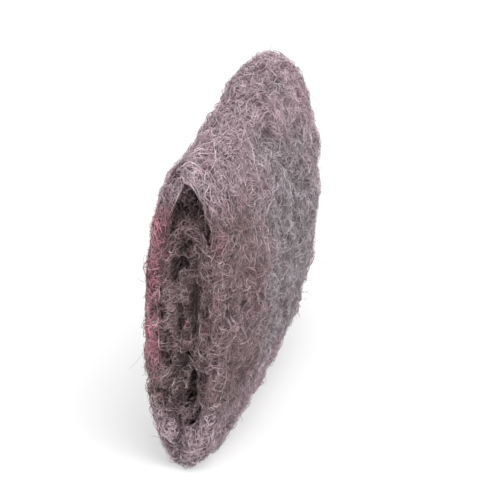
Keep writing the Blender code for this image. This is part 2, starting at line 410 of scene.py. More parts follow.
def coreMaterial():
    material, tree, shader, place = startMaterial("felted steel wool")
    lines = threadsNode(tree, place)
    # the threads are drawn as a pattern, with painted shade in the gaps between them
    gapShade = rangeNode(tree, lines, 0.0, 1.0, 0.72, 0.10)
    colour = mixNode(tree, gapShade, woolColour(tree, place), woolColours["deep"])
    # painted shade darkens the felt in its pits, in the inner turns and inside the open ends
    paintedShade = mathNode(tree, "MULTIPLY", attributeNode(tree, "paintedShade"), 0.78)
    tree.links.new(mixNode(tree, paintedShade, colour, woolColours["deep"]), shader.inputs["Base Color"])
    tree.links.new(rangeNode(tree, lines, 0.0, 1.0, 0.75, 0.42), shader.inputs["Roughness"])
    shader.inputs["Metallic"].default_value = 0.25
    bump = addNode(tree, "Bump", {"Distance": 0.0003, "Strength": 0.9, "Height": lines}, "Normal")
    tree.links.new(bump, shader.inputs["Normal"])
    return material


# The wool at the open ends: pits drawn out upright, and a few deeper dark hollows at the near one
openEnds = dict(
    pitCell=0.0015, pitStretch=0.34, pitFrom=0.15, pitDepth=0.0016,
    hollows=[  # x, z, half width, half height and depth
        (0.0000, 0.0150, 0.0008, 0.0046, 0.0026),
        (-0.0018, 0.0120, 0.0020, 0.0032, 0.0013),
        (-0.0030, 0.0405, 0.0014, 0.0015, 0.0015),
        (-0.0042, 0.0390, 0.0008, 0.0034, 0.0012),
        (-0.0004, 0.0313, 0.0009, 0.0052, 0.0015),
        (-0.0030, 0.0293, 0.0008, 0.0036, 0.0013),
        (-0.0046, 0.0235, 0.0009, 0.0040, 0.0010),
    ],
    cell=0.0002, halfWidth=0.0125, sag=1.3, blurs=10,  # the field of how far out the wool reaches
    overhang=0.0006, outerOverhang=0.00025,
    pitSeed=51,
)
endLattice = makeLattice(openEnds["pitSeed"])


def endPitAt(x, y, z):
    spots = np.stack([x, 3.0 * np.sign(y), z * openEnds["pitStretch"]], axis=-1)
    pits = noiseAt(endLattice, spots, openEnds["pitCell"]) - openEnds["pitFrom"]
    depth = openEnds["pitDepth"] * np.maximum(pits, 0.0)
    for middle, height, halfWide, halfTall, deep in openEnds["hollows"]:
        away = ((x - middle) / halfWide) ** 2 + ((z - height) / halfTall) ** 2
        depth = depth + np.where(y < 0.0, deep, 0.0) * smoothStep(1.4 - away)
    return depth


# The felted core of the strip, a little inside the solid's own surface
core = dict(
    outerSteps=222, innerSteps=92, outerTurns=1.02, stations=116, innerStations=36,
    inset=0.0006, innerInset=0.00025, edgeInset=0.0011, edgeSpread=0.0004, edgeSwell=0.00045, swellReach=0.006,
    raggedTail=0.008, tailReach=0.045, lowest=0.0001,
)
softEdge = 0.0019  # radius over which the broad faces round off to the ends


def edgeFall(y, reach):  # how far the rounded edge lies below the plain face at y
    over = np.clip((np.abs(y) - reach + softEdge - roll["edgeRound"]) / softEdge, 0.0, 0.96)
    return softEdge * (1.0 - np.sqrt(1.0 - over ** 2))


def tailShift(y, turn):  # makes the strip's outer end wavy and ragged
    spots = np.stack([np.zeros_like(y), y, np.zeros_like(y)], axis=-1)
    wave = noiseAt(feltLattices["broad"], spots, 0.0090) + 0.5 * noiseAt(feltLattices["small"], spots, 0.0023)
    return core["raggedTail"] * wave * np.clip(1.0 - turn / core["tailReach"], 0.0, 1.0)


def stripThickness(turn, y):
    return np.linalg.norm(rollPoint(turn, y, 1.0) - rollPoint(turn, y, 0.0), axis=-1)


def swellAt(y, reach):  # the strip is a little fuller beside its cut edges
    return core["edgeSwell"] * smoothStep((np.abs(y) - reach + core["swellReach"]) / core["swellReach"])


def coreRing(turn):
    depth = float(turnDepth(turn))
    buried = min(depth, 1.0)
    reach = reachAtDepth(depth) - core["edgeInset"]
    outY = reach * np.sin(math.pi / 2 * np.linspace(-1, 1, core["stations"]) * 0.93) / math.sin(math.pi / 2 * 0.93)
    inY = reach * np.linspace(1, -1, core["innerStations"])
    outTurn, inTurn = turn + tailShift(outY, turn), turn + tailShift(inY, turn)
    thick = stripThickness(outTurn, outY)
    inset = core["inset"] + edgeFall(outY, reach) * (1.0 - 0.6 * buried) - swellAt(outY, reach) * buried
    place, out, _ = stripFrame(outTurn, outY, np.clip(inset / thick, -0.3, 0.75))
    strength = (np.clip(thick / 0.0026, 0.0, 1.0) * (1.0 - 0.75 * buried))[:, None]
    outer = place + out * feltHeight(place)[:, None] * strength
    inward = (swellAt(inY, reach) - core["innerInset"]) / stripThickness(inTurn, inY)
    inner = rollPoint(inTurn, inY, 1.0 + np.clip(inward, -0.2, 0.3))
    edges = []
    for end, first in ((1.0, -1), (-1.0, 0)):
        start = float(np.clip(inset[first] / thick[first], 0.0, 0.75))
        share, bulge = np.array([0.15, 0.5, 0.85]), np.array([0.6, 1.0, 0.6])
        ridge = rollPoint(turn, np.full(3, end * reach), mix(start, 1.0, share))
        ragged = core["edgeSpread"] * noiseAt(feltLattices["small"], ridge, 0.0019)
        ridge[:, 1] += end * (roll["edgeRound"] * bulge + ragged - endPitAt(*ridge.T))
        edges.append(ridge)
    return np.concatenate([outer, edges[0], inner, edges[1][::-1]])


def buildCore():
    outerTurns = np.linspace(0.0, core["outerTurns"], core["outerSteps"] + 1)
    innerTurns = np.linspace(core["outerTurns"], roll["turns"], core["innerSteps"] + 1)[1:]
    turns = np.array([*outerTurns, *innerTurns])
    rings = np.array([coreRing(turn) for turn in turns])
    rings[..., 2] = np.maximum(rings[..., 2], core["lowest"])
    rows, count = rings.shape[:2]
    row, spot = np.meshgrid(np.arange(rows - 1), np.arange(count), indexing="ij")
    around = ((0, 0), (0, 1), (1, 1), (1, 0))  # steps along the roll and round the ring, for a face's corners
    quads = np.stack([(row + down) * count + (spot + along) % count for down, along in around], -1)
    faces = quads.reshape(-1, 4).tolist()
    corners = np.stack([np.stack([row + down, spot + along], -1) for down, along in around], 2)
    mapCorners = [(corners / np.array([rows, count + 1])).reshape(-1, 2) * 0.99]
    turnRound = np.linspace(0, 2 * math.pi, count, endpoint=False)
    for first, way in ((0, -1), ((rows - 1) * count, 1)):
        faces.append([first + i for i in range(count)][::way])
        mapCorners.append(0.995 + 0.004 * np.stack([np.cos(turnRound), np.sin(turnRound)], -1))
    points = rings.reshape(-1, 3)
    turnOf = np.repeat(turns, count)
    deepOf = turnDepth(turnOf)
    brown, grey = castsAt(points)
    values = {
        "soap": soapAt(points, turnOf, deepOf),
        # painted shade: darker in pits, in the inner turns and inside the open ends
        "paintedShade": np.clip(pitDepthAt(points) / 0.0013 + 0.30 * deepOf + endShade(points, deepOf), 0.0, 1.0),
        # deeper turns are mixed towards the darker brown: partly the wool's brown inside the roll, partly painted
        # shade
        "brown": np.maximum(brown, smoothStep(deepOf) * 0.8),
        "grey": grey,
    }
    piece = meshObject("felted_core", points, faces, coreMaterial(), values, np.concatenate(mapCorners))
    print("felted core:", 2 * (rows - 1) * count + 2 * (count - 2), "triangles")
    return piece


# Strands: flat shavings with two edges, and three-sided wires, woven over and under the felt
def strandMesh(name, strands, material, sides=2):
    paths, normals, widths = (strands[key] for key in ("paths", "normals", "widths"))
    count, knots = paths.shape[:2]
    onward = unit(np.gradient(paths, axis=1))
    side = unit(np.cross(normals, onward))
    up = np.cross(onward, side)
    t = np.linspace(-1.0, 1.0, knots)
    taper = (1.0 - 0.75 * np.abs(t) ** 3)[None, :, None]
    tilt = strands["tilts"][:, None] + strands["twists"][:, None] * t[None]
    rings = []
    for corner in range(sides):
        angle = (tilt + 2 * math.pi * corner / sides)[..., None]
        offset = side * np.cos(angle) + up * np.sin(angle)
        rings.append(paths + offset * taper * widths[:, None, None] / 2)
    points = np.stack(rings, axis=2)
    points[..., 2] = np.maximum(points[..., 2], 0.00015)
    spans = 1 if sides == 2 else sides
    strand, knot, corner = np.meshgrid(np.arange(count), np.arange(knots - 1), np.arange(spans), indexing="ij")
    here, after = (strand * knots + knot) * sides, (corner + 1) % sides
    quads = np.stack([here + corner, here + after, here + sides + after, here + sides + corner], -1).reshape(-1, 4)
    cells = math.ceil(math.sqrt(count))
    cellPlace = np.stack([strand % cells, strand // cells], -1)
    corners = []
    for du, dv in ((0, 0), (1, 0), (1, 1), (0, 1)):
        inCell = np.stack([(corner + du) / float(spans), (knot + dv) / (knots - 1.0)], -1)
        corners.append((cellPlace + 0.06 + 0.88 * inCell) / cells)
    mapCorners, faces = [np.stack(corners, 3).reshape(-1, 2)], quads.tolist()
    if sides == 3:
        first = np.arange(count) * knots * 3
        last = first + (knots - 1) * 3
        faces += np.stack([first, first + 2, first + 1], -1).tolist()
        faces += np.stack([last, last + 1, last + 2], -1).tolist()
        index = np.arange(count)
        capCell = np.stack([index % cells, index // cells], -1)[:, None, :]
        small = np.array([[0.1, 0.0], [0.3, 0.0], [0.2, 0.1]])[None]
        for shift in (0.0, 0.85):
            mapCorners.append(((capCell + np.array([0.0, shift]) + 0.03 + 0.88 * small) / cells).reshape(-1, 2))
    keys = ("soap", "paintedShade", "brown", "grey", "tone")
    values = {key: np.repeat(strands[key].reshape(-1), sides) for key in keys}
    piece = meshObject(name, points.reshape(-1, 3), faces, material, values, np.concatenate(mapCorners))
    print(name + ":", count, "strands,", 2 * len(quads) + (2 * count if sides == 3 else 0), "triangles")
    return piece


def strandHeights(rng, count, settings):
    t = np.linspace(0.0, 1.0, settings["knots"])[None]
    level = rng.uniform(settings["lowest"], settings["highest"], count)[:, None]
    waves = rng.uniform(*settings["waves"], count)[:, None]
    phase = rng.uniform(0.0, 2 * math.pi, count)[:, None]
    weave = settings["swing"] * rng.uniform(0.4, 1.2, count)[:, None] * np.sin(2 * math.pi * waves * t + phase)
    return level + weave - np.abs(2.0 * t - 1.0) ** 4 * settings["tuck"]


def headings(rng, count, settings):  # a strand's direction at each knot: crimped, drifting and partly in ringlets
    base = rng.normal(0.0, settings["headingSpread"], count) + math.pi * (rng.random(count) < 0.5)
    step = rng.uniform(*settings["step"], count)
    swerve = rng.uniform(*settings["swerve"], count)
    wave = 2 * math.pi * step / rng.uniform(*settings["wavelength"], count)
    phase = rng.uniform(0.0, 2 * math.pi, count)
    curl = rng.normal(0.0, settings["curl"], count)
    ringlet = rng.random(count) < settings["ringletShare"]
    tight = rng.uniform(*settings["ringletRadius"], int(ringlet.sum()))
    curl[ringlet] = rng.choice((-1.0, 1.0), int(ringlet.sum())) * step[ringlet] / tight
    drift = np.cumsum(rng.normal(0.0, settings["wander"], (count, settings["knots"])), axis=1)
    knot = np.arange(settings["knots"])[None]
    turned = swerve[:, None] * np.sin(phase[:, None] + wave[:, None] * knot)
    return step, base[:, None] + curl[:, None] * knot + drift + turned


def dressStrands(rng, settings, paths, normals, heights, turns, deep):  # widths, tones and stains
    count = len(paths)
    widths = rng.uniform(*settings["fine"], count)
    coarse = rng.random(count) < settings["coarseShare"]
    widths[coarse] = rng.uniform(*settings["coarse"], int(coarse.sum()))
    brown, grey = castsAt(paths)
    tone = rng.normal(settings["tone"], settings["toneSpread"], count)[:, None]
    # painted shade: darker for strands that lie low, over pits and inside the open ends
    paintedShade = (0.00002 - heights) / 0.0013 + pitDepthAt(paths) / 0.0014 + endShade(paths, deep)
    return {
        "paths": paths, "normals": normals, "widths": widths,
        "tilts": rng.uniform(-0.9, 0.9, count), "twists": rng.normal(0.0, 1.1, count),
        # tone wanders along each strand, partly at random and partly as painted glints
        "tone": np.clip(tone + 0.25 * noiseAt(fleckLattice, paths, 0.0010), 0.0, 1.0),
        "paintedShade": np.clip(paintedShade, 0.0, 1.0), "soap": soapAt(paths, np.maximum(turns, 0.0), deep),
        # deeper turns are mixed towards the darker brown: partly the wool's brown inside the roll, partly painted
        # shade
        "brown": np.maximum(brown, smoothStep(deep)), "grey": grey,
    }


def pickStrands(strands, chosen):
    return {key: value[chosen] for key, value in strands.items()}


plain = dict(  # what most kinds of strand share
    knots=10, ringletShare=0.0, ringletRadius=(0.0015, 0.0030), waves=(0.8, 2.2), tuck=0.0006,
    coarseShare=0.12, toneSpread=0.14, sides=2,
)
cover = dict(
    curly=dict(
        plain, strands=16600, knots=13, step=(0.00034, 0.00056), headingSpread=1.1,
        swerve=(0.4, 1.1), wavelength=(0.0024, 0.0050), curl=0.10, wander=0.20,
        ringletShare=0.14, ringletRadius=(0.0006, 0.0013),
        lowest=-0.00060, highest=0.00032, swing=0.00026, waves=(0.8, 2.4), tuck=0.0005,
        fine=(0.00006, 0.00010), coarse=(0.00011, 0.00016), tone=0.47, toneSpread=0.13, seed=31,
    ),
    wiry=dict(
        plain, strands=2100, step=(0.00045, 0.00080), headingSpread=1.0,
        swerve=(0.4, 1.1), wavelength=(0.0024, 0.0052), curl=0.12, wander=0.22,
        ringletShare=0.16, ringletRadius=(0.0007, 0.0015),
        lowest=-0.00015, highest=0.00040, swing=0.00034, waves=(0.8, 2.0), tuck=0.0007,
        fine=(0.00008, 0.00012), coarse=(0.00013, 0.00019), coarseShare=0.22,
        tone=0.56, toneSpread=0.17, seed=32, sides=3,
    ),
    sweeping=dict(
        plain, strands=4600, step=(0.00070, 0.00120), headingSpread=0.8,
        swerve=(0.15, 0.70), wavelength=(0.0045, 0.0090), curl=0.14, wander=0.26, ringletShare=0.06,
        lowest=-0.00055, highest=0.00028, swing=0.00036,
        fine=(0.00006, 0.00011), coarse=(0.00012, 0.00018), tone=0.45, seed=33,
    ),
    arch=dict(  # long pale strands that follow the strip round the near end's upper fold
        plain, strands=240, step=(0.00060, 0.00100), headingSpread=0.36,
        swerve=(0.1, 0.4), wavelength=(0.0050, 0.0090), curl=0.03, wander=0.10,
        lowest=0.00005, highest=0.00055, swing=0.00020, waves=(0.6, 1.6),
        fine=(0.00006, 0.00010), coarse=(0.00011, 0.00014), coarseShare=0.10, tone=0.50, seed=34,
        turns=(0.56, 0.82), across=(-0.0392, -0.0335),
    ),
    crest=dict(  # and others that run along the fold
        plain, strands=240, step=(0.00090, 0.00140), headingSpread=0.30,
        swerve=(0.1, 0.4), wavelength=(0.0060, 0.0110), curl=0.03, wander=0.10,
        lowest=0.00005, highest=0.00045, swing=0.00024, waves=(0.6, 1.6),
        fine=(0.00007, 0.00011), coarse=(0.00012, 0.00015), coarseShare=0.10, tone=0.54, seed=35, lean=1.57,
        turns=(0.60, 0.78), across=(-0.0380, -0.0100),
    ),
    tailBridge=0.020, tailRun=0.035, turns=(-0.020, 1.0), across=(-0.0386, 0.0386),
)


def spreadStarts(rng, count, turns, across):  # spots spread evenly over an area of the strip
    turn = rng.uniform(*turns, count * 3)
    y = rng.uniform(*across, count * 3)
    speed = stripFrame(turn, y)[2]
    kept = rng.random(count * 3) < speed / speed.max()
    return turn[kept][:count], y[kept][:count]


def coverPoints(turn, w, height):  # w runs across the strip and over its rounded cut edges
    reach = reachAtDepth(turnDepth(turn)) + roll["edgeRound"] - softEdge
    end = np.where(w < 0.0, -1.0, 1.0)
    over = np.clip((np.abs(w) - reach) / softEdge, 0.0, 1.9)
    y = end * (np.minimum(np.abs(w), reach) + softEdge * np.sin(over))
    place, out, _ = stripFrame(turn, y)
    under, outUnder, _ = stripFrame(turn + 1.0, y)
    bridged = smoothStep(-turn / cover["tailBridge"])[..., None]
    place, out = mix(place, under, bridged), unit(mix(out, outUnder, bridged))
    spanning = 0.6 * smoothStep((height + 0.0001) / 0.0004) * pitDepthAt(place)  # upper strands span the pits
    lifted = height + feltHeight(place) + spanning
    rise = lifted * np.cos(over) - softEdge * (1.0 - np.cos(over))
    sideways = np.zeros_like(place)
    sideways[..., 1] = end * lifted * np.sin(over)
    normal = out * np.cos(over)[..., None]
    normal[..., 1] += end * np.sin(over)
    return place + out * rise[..., None] + sideways, unit(normal)


def coverStrands(settings):
    rng = np.random.default_rng(settings["seed"])
    region = [settings.get(key, cover[key]) for key in ("turns", "across")]
    turn, y = spreadStarts(rng, settings["strands"], *region)
    count = len(turn)
    step, heading = headings(rng, count, settings)
    heading = heading + settings.get("lean", 0.0)
    turns, across = [], []
    for knot in range(settings["knots"]):
        turns.append(turn)
        across.append(y)
        speed = stripFrame(turn, np.clip(y, -halfLength, halfLength))[2]
        turn = np.maximum(turn + step * np.cos(heading[:, knot]) / speed, -cover["tailRun"])
        y = y + step * np.sin(heading[:, knot])
    turns, across = np.stack(turns, 1), np.stack(across, 1)
    heights = strandHeights(rng, count, settings)
    paths, normals = coverPoints(turns, across, heights)
    return dressStrands(rng, settings, paths, normals, heights, turns, turnDepth(turns))


def buildCover(material):
    strands = coverStrands(cover["curly"])
    middle = cover["curly"]["knots"] // 2
    facing, near = strands["normals"][:, middle, 0], strands["paths"][:, middle, 1] < 0
    front, back = facing > 0.5, facing < -0.5
    regions = {
        "front_near": front & near,
        "front_far": front & ~near,
        "back_near": back & near,
        "back_far": back & ~near,
        "folds": ~front & ~back,
    }
    pieces = [
        strandMesh("curly_" + name, pickStrands(strands, chosen), material) for name, chosen in regions.items()
    ]
    for kind in ("wiry", "sweeping", "arch", "crest"):
        pieces.append(strandMesh(kind + "_cover", coverStrands(cover[kind]), material, cover[kind]["sides"]))
    return pieces


# Tangled strands on the cut edges, laid over a smoothed field of how far out the wool reaches
ends = dict(
    curly=dict(
        plain, strands=dict(near=4600, far=1500), knots=13, step=(0.00032, 0.00054), headingSpread=0.62,
        swerve=(0.4, 1.2), wavelength=(0.0022, 0.0046), curl=0.10, wander=0.22,
        ringletShare=0.08, ringletRadius=(0.0005, 0.0009), lowest=-0.00110, highest=0.00032, swing=0.00032,
        fine=(0.00006, 0.00010), coarse=(0.00011, 0.00016), coarseShare=0.14, tone=0.56, toneSpread=0.15, seed=41,
    ),
    wiry=dict(
        plain, strands=dict(near=560, far=240), step=(0.00045, 0.00085), headingSpread=0.7,
        swerve=(0.3, 1.1), wavelength=(0.0024, 0.0050), curl=0.12, wander=0.24,
        ringletShare=0.08, ringletRadius=(0.0007, 0.0012),
        lowest=-0.00040, highest=0.00045, swing=0.00040, waves=(0.8, 2.0), tuck=0.0009,
        fine=(0.00008, 0.00012), coarse=(0.00013, 0.00019), coarseShare=0.20,
        tone=0.60, toneSpread=0.15, seed=45, sides=3,
    ),
)


def makeEndField(end):  # for a grid of places x, z: the nearest spot of the strip's cut edge
    turn, inward = np.meshgrid(np.linspace(0.0, roll["turns"], 1300), np.linspace(0.04, 0.96, 15))
    turn, inward = turn.ravel(), inward.ravel()
    depth = turnDepth(turn)
    reach = reachAtDepth(depth + inward - 0.5)
    spots = rollPoint(turn, end * reach, inward)
    tree = KDTree(len(spots))
    for index, spot in enumerate(spots.tolist()):
        tree.insert((spot[0], 0.0, spot[2]), index)
    tree.balance()
    wide = int(2 * openEnds["halfWidth"] / openEnds["cell"]) + 1
    tall = int(roll["height"] / openEnds["cell"]) + 2
    nearest, away = np.zeros((wide, tall), int), np.zeros((wide, tall))
    for i in range(wide):
        for k in range(tall):
            at = (i * openEnds["cell"] - openEnds["halfWidth"], 0.0, k * openEnds["cell"])
            _, nearest[i, k], away[i, k] = tree.find(at)
    onward = rollPoint(turn + 0.003, end * reach, inward) - spots
    bulge = roll["edgeRound"] * (1.0 - (2.0 * inward - 1.0) ** 2)
    corner = np.clip(1.0 - inward / 0.6, 0.0, 1.0) ** 2 * 0.0011 * (1.0 - smoothStep(depth))
    out = (reach + bulge - corner)[nearest] - openEnds["sag"] * np.maximum(away - 0.0004, 0.0)
    for _ in range(openEnds["blurs"]):
        sides = [np.roll(out, shift, axis) for shift in (-1, 1) for axis in (0, 1)]
        out = (out + sum(sides)) / 5.0
    return {
        "x": spots[nearest, 0], "z": spots[nearest, 2], "away": away, "out": out, "turn": turn[nearest],
        "along": np.arctan2(onward[nearest, 0], onward[nearest, 2]), "layer": (depth + inward)[nearest],
        "deep": np.maximum(depth + inward - 0.6, 0.0)[nearest], "outside": ((inward < 0.1) & (depth < 0.3))[nearest],
    }


def cellOf(field, x, z):
    i = np.rint((x + openEnds["halfWidth"]) / openEnds["cell"]).astype(int)
    k = np.rint(z / openEnds["cell"]).astype(int)
    return np.clip(i, 0, field["away"].shape[0] - 1), np.clip(k, 0, field["away"].shape[1] - 1)


def keepOn(field, x, z):  # pulls places back that have left the wool
    at = cellOf(field, x, z)
    limit = np.where(field["outside"][at], openEnds["outerOverhang"], openEnds["overhang"])
    pull = np.minimum(1.0, limit / np.maximum(field["away"][at], 1e-6))
    return mix(field["x"][at], x, pull), mix(field["z"][at], z, pull)


def endStrands(settings, end, count, field):
    rng = np.random.default_rng(settings["seed"] + int(end))
    x = rng.uniform(-openEnds["halfWidth"], openEnds["halfWidth"], count * 8)
    z = rng.uniform(0.0, roll["height"], count * 8)
    at = cellOf(field, x, z)
    kept = field["away"][at] < np.where(field["outside"][at], 0.0001, 0.5 * openEnds["overhang"])
    x, z = x[kept][:count], z[kept][:count]
    count = len(x)
    step, heading = headings(rng, count, settings)
    placesX, placesZ, along = [], [], field["along"][cellOf(field, x, z)]
    for knot in range(settings["knots"]):
        placesX.append(x)
        placesZ.append(z)
        wound = field["along"][cellOf(field, x, z)]  # the strands follow the way the strip is wound
        along = wound + math.pi * (np.cos(wound - along) < 0.0)
        way = along + heading[:, knot]
        newX, newZ = keepOn(field, x + step * np.sin(way), z + step * np.cos(way))
        jumped = np.hypot(newX - x, newZ - z) > 1.5 * step  # over a gap: the strand turns back instead
        heading[jumped] += 2.6
        x = np.where(jumped, x - 0.6 * step * np.sin(way), newX)
        z = np.where(jumped, z - 0.6 * step * np.cos(way), newZ)
    x, z = np.stack(placesX, 1), np.stack(placesZ, 1)
    at = cellOf(field, x, z)
    heights = strandHeights(rng, count, settings)
    pits = endPitAt(x, np.full_like(x, end), z)
    spanning = 0.5 * smoothStep((heights + 0.0001) / 0.0005)
    y = end * (field["out"][at] + heights - pits * (1.0 - spanning))
    paths = np.stack([x, y, np.maximum(z, 0.0001)], axis=-1)
    normals = np.zeros_like(paths)
    normals[..., 1] = end
    strands = dressStrands(rng, settings, paths, normals, heights, field["turn"][at], field["deep"][at])
    # Painted shade: strands over the end's pits are darker, and so is the soapy rim deeper in, which leaves the very
    # rim paler
    soapRimShade = 0.34 * strands["soap"] * smoothStep((field["layer"][at] - 0.28) / 0.14)
    strands["paintedShade"] = np.clip(strands["paintedShade"] + pits / 0.0022 + soapRimShade, 0.0, 1.0)
    return strands


def buildEnds(material):
    pieces = []
    for end, name in ((-1.0, "near"), (1.0, "far")):
        field = makeEndField(end)
        for kind, settings in ends.items():
            strands = endStrands(settings, end, settings["strands"][name], field)
            pieces.append(strandMesh(kind + "_" + name + "_end", strands, material, settings["sides"]))
    return pieces


# Strands that line the walls of the hollows between the outer turn and the next one
lining = dict(
    plain, knots=11, step=(0.00034, 0.00056), headingSpread=1.2,
    swerve=(0.4, 1.2), wavelength=(0.0022, 0.0046), curl=0.12, wander=0.22,
    ringletShare=0.25, ringletRadius=(0.0006, 0.0013), lowest=0.00000, highest=0.00090, swing=0.00040,
    fine=(0.00007, 0.00011), coarse=(0.00012, 0.00017), coarseShare=0.14, tone=0.46, toneSpread=0.15, seed=48,
    walls=[  # turns, inward, y and strands
        ((0.49, 0.88), 1.0, (-0.0374, -0.0270), 900),
        ((1.48, 1.86), 0.0, (-0.0366, -0.0270), 620),
        ((0.03, 0.40), 1.0, (-0.0372, -0.0310), 240),
        ((0.55, 0.80), 1.0, (0.0310, 0.0372), 160),
        ((1.55, 1.80), 0.0, (0.0310, 0.0366), 120),
    ],
    shadeReach=0.0075,
)


def liningStrands(wall, rng):
    turns, inward, across, strands = wall
    turn, y = spreadStarts(rng, strands, turns, across)
    count = len(turn)
    step, heading = headings(rng, count, lining)
    walkedTurns, walkedY = [], []
    for knot in range(lining["knots"]):
        walkedTurns.append(turn)
        walkedY.append(y)
        speed = np.maximum(stripFrame(turn, y, inward)[2], 0.02)
        turn = np.clip(turn + step * np.cos(heading[:, knot]) / speed, *turns)
        y = np.clip(y + step * np.sin(heading[:, knot]), *across)
    turn, y = np.stack(walkedTurns, 1), np.stack(walkedY, 1)
    heights = strandHeights(rng, count, lining)
    place, out, _ = stripFrame(turn, y, inward)
    facing = out * (1.0 - 2.0 * inward)
    deep = np.maximum(turnDepth(turn) + inward, 0.9)
    strands = dressStrands(rng, lining, place + facing * heights[..., None], facing, heights, turn, deep)
    # Painted shade: strands further inside the hollow are darker
    inside = (halfLength - np.abs(y)) / lining["shadeReach"]
    strands["paintedShade"] = np.clip(strands["paintedShade"] + 0.5 * smoothStep(inside), 0.0, 1.0)
    return strands


def joinStrands(groups):
    return {key: np.concatenate([group[key] for group in groups]) for key in groups[0]}


def buildLining(material):
    rng = np.random.default_rng(lining["seed"])
    strands = joinStrands([liningStrands(wall, rng) for wall in lining["walls"]])
    return [strandMesh("hollow_lining", strands, material)]


# Nests of tangled strands in the near end: three in the hollow under the arch, one of them at its very top,
# and one low down
nests = dict(
    places=[  # middle, radii and strands of each
        ((-0.0040, -0.0345, 0.0484), (0.0013, 0.0012, 0.0022), 110),
        ((-0.0008, -0.0352, 0.0478), (0.0024, 0.0010, 0.0014), 130),
        ((-0.0012, -0.0352, 0.0108), (0.0022, 0.0012, 0.0018), 110),
        ((-0.0031, -0.0336, 0.0532), (0.0014, 0.0012, 0.0021), 80),
    ],
    knots=12, step=(0.00028, 0.00044), curlRadius=(0.0006, 0.0016), width=(0.00008, 0.00013),
    tone=0.46, toneSpread=0.15, leastBrown=0.6, seed=55,
)


def looseStrands(rng, paths, normals, widths, paintedShade, settings):
    count, knots = paths.shape[:2]
    brown, grey = castsAt(paths)
    tone = np.repeat(rng.normal(settings["tone"], settings["toneSpread"], (count, 1)), knots, axis=1)
    return {
        "paths": paths, "normals": np.repeat(normals[:, None], knots, axis=1), "widths": widths,
        "tilts": np.zeros(count), "twists": np.zeros(count), "tone": np.clip(tone, 0.0, 1.0), "paintedShade": paintedShade,
        "soap": np.zeros((count, knots)), "brown": np.maximum(brown, settings["leastBrown"]), "grey": grey,
    }


def nestStrands(middle, radii, count, rng):
    middle, radii = np.array(middle), np.array(radii)
    place = middle + radii * unit(rng.normal(size=(count, 3))) * rng.random((count, 1)) ** 0.33
    forward, axis = unit(rng.normal(size=(count, 3))), unit(rng.normal(size=(count, 3)))
    step = rng.uniform(*nests["step"], count)[:, None]
    curl = step / rng.uniform(*nests["curlRadius"], count)[:, None]
    paths = []
    for knot in range(nests["knots"]):
        paths.append(place)
        outside = np.maximum(np.linalg.norm((place - middle) / radii, axis=-1, keepdims=True) - 0.9, 0.0)
        forward = unit(forward + np.cross(axis, forward) * curl + 1.6 * outside * unit(middle - place))
        place = place + forward * step
    paths = np.stack(paths, 1)
    # Painted shade: strands deeper in the nest, further into the roll, are darker
    inside = np.clip((paths[..., 1] - middle[1] + radii[1]) / (2 * radii[1]), 0.0, 1.0)
    normals = unit(rng.normal(size=(count, 3)))
    widths = rng.uniform(*nests["width"], count)
    return looseStrands(rng, paths, normals, widths, np.clip(0.20 + 0.65 * inside, 0.0, 1.0), nests)


def buildNests(material):
    rng = np.random.default_rng(nests["seed"])
    strands = joinStrands([nestStrands(*nest, rng) for nest in nests["places"]])
    return [strandMesh("nests_near_end", strands, material, 3)]


# Loose hairs that stand off the surface, and a few long stray ones
hairs = dict(
    short=dict(hairs=420, knots=8, length=(0.0016, 0.0042), rise=(0.10, 0.55), bend=1.7, width=0.00007),
    long=dict(hairs=20, knots=14, length=(0.0060, 0.0110), rise=(0.15, 0.45), bend=2.4, width=0.00006),
    tone=0.38, toneSpread=0.14, leastBrown=0.0, seed=61,
)


def hairStrands(settings, rng):
    count, knots = settings["hairs"], settings["knots"]
    turn, y = spreadStarts(rng, count, (0.0, 1.0), cover["across"])
    root, out = coverPoints(turn, y, np.full(len(turn), 0.0001))
    upward = np.where(root[:, 2] < 0.004, 0.0, 1.0)[:, None]
    side = unit(np.cross(out, rng.normal(size=out.shape)))
    rise = rng.uniform(*settings["rise"], count)[:, None] * upward
    forward = unit(side + out * rise)
    axis = unit(np.cross(forward, out) + 0.6 * rng.normal(size=out.shape))
    length = rng.uniform(*settings["length"], count)
    bend = rng.normal(0.0, settings["bend"], count)
    paths, place = [], root - out * 0.0003
    for knot in range(knots):
        paths.append(place)
        place = place + forward * (length / (knots - 1))[:, None]
        forward = unit(forward + np.cross(axis, forward) * (bend / (knots - 1))[:, None])
    paths = np.stack(paths, 1)
    paths[..., 2] = np.maximum(paths[..., 2], 0.0003)
    widths = np.full(count, settings["width"])
    return looseStrands(rng, paths, out, widths, np.zeros((count, knots)), hairs)


def buildHairs(material):
    rng = np.random.default_rng(hairs["seed"])
    kinds = ("short", "long")
    return [strandMesh(kind + "_loose_hairs", hairStrands(hairs[kind], rng), material, 3) for kind in kinds]


# Crumbs of dried soap that sit in the wool, most of them on the near end's back rim
crumbs = dict(rim=170, spread=50, size=(0.00007, 0.00016), seed=71)


def crumbMaterial():
    material, tree, shader, place = startMaterial("dried pink soap")
    mottle = rangeNode(tree, noiseNode(tree, place, 1500.0), 0.35, 0.65)
    tree.links.new(mixNode(tree, mottle, (0.40, 0.11, 0.18), (0.62, 0.27, 0.35)), shader.inputs["Base Color"])
    shader.inputs["Roughness"].default_value = 0.62
    return material


